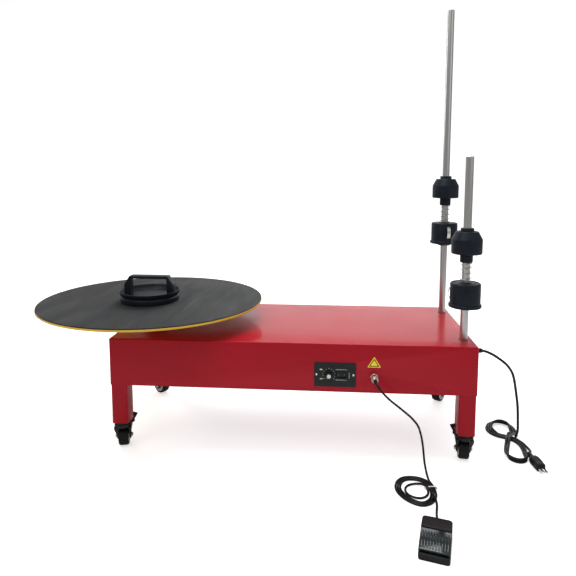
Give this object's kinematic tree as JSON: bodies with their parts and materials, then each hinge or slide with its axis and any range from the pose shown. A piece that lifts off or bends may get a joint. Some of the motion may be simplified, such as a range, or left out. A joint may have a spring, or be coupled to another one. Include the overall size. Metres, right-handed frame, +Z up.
{
  "type": "stretch film wrapping turntable",
  "caption": "Low wheeled table with a motor-driven ribbed platform at one end, two film-roll poles at the other, and a foot switch on a cord.",
  "frame": {"origin": "on the floor, under the middle of the overall box without the free cords", "axes": "+X from the platform to the poles, +Y away from the control panel, +Z up"},
  "size_m": [1.2987, 0.8305, 1.14],
  "materials": {
    "red_paint": "gloss red enamel on sheet steel",
    "black_paint": "satin black coating",
    "caster_tyre": "black rubber tyre on a grey rim",
    "zinc_steel": "zinc plated and turned steel",
    "yellow_paint": "gloss yellow paint",
    "ribbed_rubber": "finely ribbed black rubber mat",
    "cap_plastic": "satin moulded plastic",
    "cast_metal": "cast housing",
    "motor_paint": "dark grey motor paint",
    "belt_rubber": "ribbed drive belt",
    "pole_steel": "brushed steel bar",
    "hub_plastic": "navy-black machined nylon",
    "spring_steel": "bright spring steel",
    "panel_paint": "satin charcoal panel",
    "knob_plastic": "black moulding",
    "nickel": "nickel plated connector",
    "pedal_plastic": "black moulded housing",
    "pedal_gloss": "glossy ribbed treadle",
    "cord_rubber": "black cord sheath"
  },
  "bodies": {
    "root": {"casing": "red_paint", "legs": "red_paint", "caster_stems": "zinc_steel", "bearing_block": "cast_metal", "spindle_bearings": "zinc_steel", "gear_motor": "motor_paint", "drive_belt": "belt_rubber", "front_pole": "pole_steel", "back_pole": "pole_steel", "pole_sockets": "zinc_steel", "frame_bolts": "zinc_steel", "control_box": "panel_paint", "panel_plate": "panel_paint", "panel_screws": "zinc_steel", "pedal_socket": "nickel", "pedal_base": "pedal_plastic", "pedal_pin": "zinc_steel", "pedal_spring": "spring_steel", "mains_gland": "cord_rubber", "mains_cord": "cord_rubber", "mains_hank": "cord_rubber", "mains_plug": "cord_rubber", "pedal_plug": "nickel", "pedal_cord": "cord_rubber", "pedal_coil": "cord_rubber"},
    "turntable": {"disc_plate": "yellow_paint", "disc_mat": "ribbed_rubber", "spindle": "zinc_steel", "flange_screws": "zinc_steel", "driven_pulley": "zinc_steel"},
    "carrying_cap": {"cap_base": "cap_plastic", "cap_handle": "cap_plastic"},
    "motor_output": {"motor_pulley": "zinc_steel"},
    "front_carriage": {"front_sleeve": "hub_plastic", "front_clamp_screw": "spring_steel", "front_coil_spring": "spring_steel"},
    "front_lower_roll_hub": {"front_lower_hub": "hub_plastic", "front_leaf_spring": "spring_steel"},
    "front_bush_body": {"front_bush": "hub_plastic"},
    "front_upper_roll_hub": {"front_upper_hub": "hub_plastic"},
    "back_carriage": {"back_sleeve": "hub_plastic", "back_clamp_screw": "spring_steel", "back_coil_spring": "spring_steel"},
    "back_lower_roll_hub": {"back_lower_hub": "hub_plastic", "back_leaf_spring": "spring_steel"},
    "back_bush_body": {"back_bush": "hub_plastic"},
    "back_upper_roll_hub": {"back_upper_hub": "hub_plastic"},
    "caster_front_left": {"fork_front_left": "black_paint"},
    "caster_wheel_front_left": {"wheel_front_left": "caster_tyre"},
    "caster_front_right": {"fork_front_right": "black_paint"},
    "caster_wheel_front_right": {"wheel_front_right": "caster_tyre"},
    "caster_rear_left": {"fork_rear_left": "black_paint"},
    "caster_wheel_rear_left": {"wheel_rear_left": "caster_tyre"},
    "caster_rear_right": {"fork_rear_right": "black_paint"},
    "caster_wheel_rear_right": {"wheel_rear_right": "caster_tyre"},
    "brake_lever_front_left": {"brake_front_left": "black_paint"},
    "brake_lever_front_right": {"brake_front_right": "black_paint"},
    "speed_knob_body": {"speed_knob": "knob_plastic"},
    "power_rocker": {"rocker_switch": "knob_plastic"},
    "treadle": {"pedal_treadle": "pedal_gloss"}
  },
  "joints": [
    {"name": "turntable_spin", "type": "hinge", "parent": "root", "child": "turntable", "pos_m": [-0.27687, 0.11326, 0.34], "axis": [0, 0, 1], "continuous": true},
    {"name": "motor_pulley_spin", "type": "hinge", "parent": "root", "child": "motor_output", "pos_m": [-0.10088, 0.11326, 0.193], "axis": [0, 0, 1], "continuous": true},
    {"name": "cap_lift", "type": "slide", "parent": "turntable", "child": "carrying_cap", "axis": [0, 0, 1], "range_m": [0, 0.15]},
    {"name": "front_holder_height", "type": "slide", "parent": "root", "child": "front_carriage", "axis": [0, 0, 1], "range_m": [-0.07, 0.155]},
    {"name": "front_lower_hub_spin", "type": "hinge", "parent": "front_carriage", "child": "front_lower_roll_hub", "pos_m": [0.54012, -0.01774, 0.402], "axis": [0, 0, 1], "continuous": true},
    {"name": "front_spring_push", "type": "slide", "parent": "front_carriage", "child": "front_bush_body", "axis": [0, 0, 1], "range_m": [-0.015, 0], "stiffness_N_per_m": 800, "springref_m": 0.006, "deforming": ["front_coil_spring"]},
    {"name": "front_upper_hub_spin", "type": "hinge", "parent": "front_bush_body", "child": "front_upper_roll_hub", "pos_m": [0.54012, -0.01774, 0.527], "axis": [0, 0, 1], "continuous": true},
    {"name": "back_holder_height", "type": "slide", "parent": "root", "child": "back_carriage", "axis": [0, 0, 1], "range_m": [-0.19, 0.44]},
    {"name": "back_lower_hub_spin", "type": "hinge", "parent": "back_carriage", "child": "back_lower_roll_hub", "pos_m": [0.54012, 0.23826, 0.524], "axis": [0, 0, 1], "continuous": true},
    {"name": "back_spring_push", "type": "slide", "parent": "back_carriage", "child": "back_bush_body", "axis": [0, 0, 1], "range_m": [-0.015, 0], "stiffness_N_per_m": 800, "springref_m": 0.006, "deforming": ["back_coil_spring"]},
    {"name": "back_upper_hub_spin", "type": "hinge", "parent": "back_bush_body", "child": "back_upper_roll_hub", "pos_m": [0.54012, 0.23826, 0.649], "axis": [0, 0, 1], "continuous": true},
    {"name": "swivel_front_left", "type": "hinge", "parent": "root", "child": "caster_front_left", "pos_m": [-0.30638, -0.05524, 0.062], "axis": [0, 0, 1], "continuous": true},
    {"name": "roll_front_left", "type": "hinge", "parent": "caster_front_left", "child": "caster_wheel_front_left", "pos_m": [-0.31, -0.04171, 0.025], "axis": [0.9659, 0.2588, 0], "continuous": true},
    {"name": "swivel_front_right", "type": "hinge", "parent": "root", "child": "caster_front_right", "pos_m": [0.54063, -0.05524, 0.062], "axis": [0, 0, 1], "continuous": true},
    {"name": "roll_front_right", "type": "hinge", "parent": "caster_front_right", "child": "caster_wheel_front_right", "pos_m": [0.54233, -0.04134, 0.025], "axis": [0.9925, -0.1219, 0], "continuous": true},
    {"name": "swivel_rear_left", "type": "hinge", "parent": "root", "child": "caster_rear_left", "pos_m": [-0.30638, 0.28176, 0.062], "axis": [0, 0, 1], "continuous": true},
    {"name": "roll_rear_left", "type": "hinge", "parent": "caster_rear_left", "child": "caster_wheel_rear_left", "pos_m": [-0.31812, 0.28939, 0.025], "axis": [0.5446, 0.8387, 0], "continuous": true},
    {"name": "swivel_rear_right", "type": "hinge", "parent": "root", "child": "caster_rear_right", "pos_m": [0.54063, 0.28176, 0.062], "axis": [0, 0, 1], "continuous": true},
    {"name": "roll_rear_right", "type": "hinge", "parent": "caster_rear_right", "child": "caster_wheel_rear_right", "pos_m": [0.54885, 0.29309, 0.025], "axis": [0.809, -0.5878, 0], "continuous": true},
    {"name": "brake_press_front_left", "type": "hinge", "parent": "caster_front_left", "child": "brake_lever_front_left", "pos_m": [-0.29748, -0.0308, 0.063], "axis": [-0.9397, 0.342, 0], "range_deg": [0, 22]},
    {"name": "brake_press_front_right", "type": "hinge", "parent": "caster_front_right", "child": "brake_lever_front_right", "pos_m": [0.52964, -0.03167, 0.063], "axis": [-0.9063, -0.4226, 0], "range_deg": [0, 22]},
    {"name": "speed_turn", "type": "hinge", "parent": "root", "child": "speed_knob_body", "pos_m": [0.21313, -0.08474, 0.215], "axis": [0, 1, 0], "range_deg": [0, 260]},
    {"name": "power_rock", "type": "hinge", "parent": "root", "child": "power_rocker", "pos_m": [0.24213, -0.07074, 0.215], "axis": [0, 0, 1], "range_deg": [-12, 0]},
    {"name": "pedal_press", "type": "hinge", "parent": "root", "child": "treadle", "pos_m": [0.41568, -0.36094, 0.022], "axis": [0.9659, -0.2588, 0], "range_deg": [0, 5], "stiffness_Nm_per_rad": 1.5, "springref_deg": -2.86, "deforming": ["pedal_spring"]}
  ],
  "couplings": [
    {"joint": "motor_pulley_spin", "follows": "turntable_spin", "ratio": 3.1429}
  ]
}
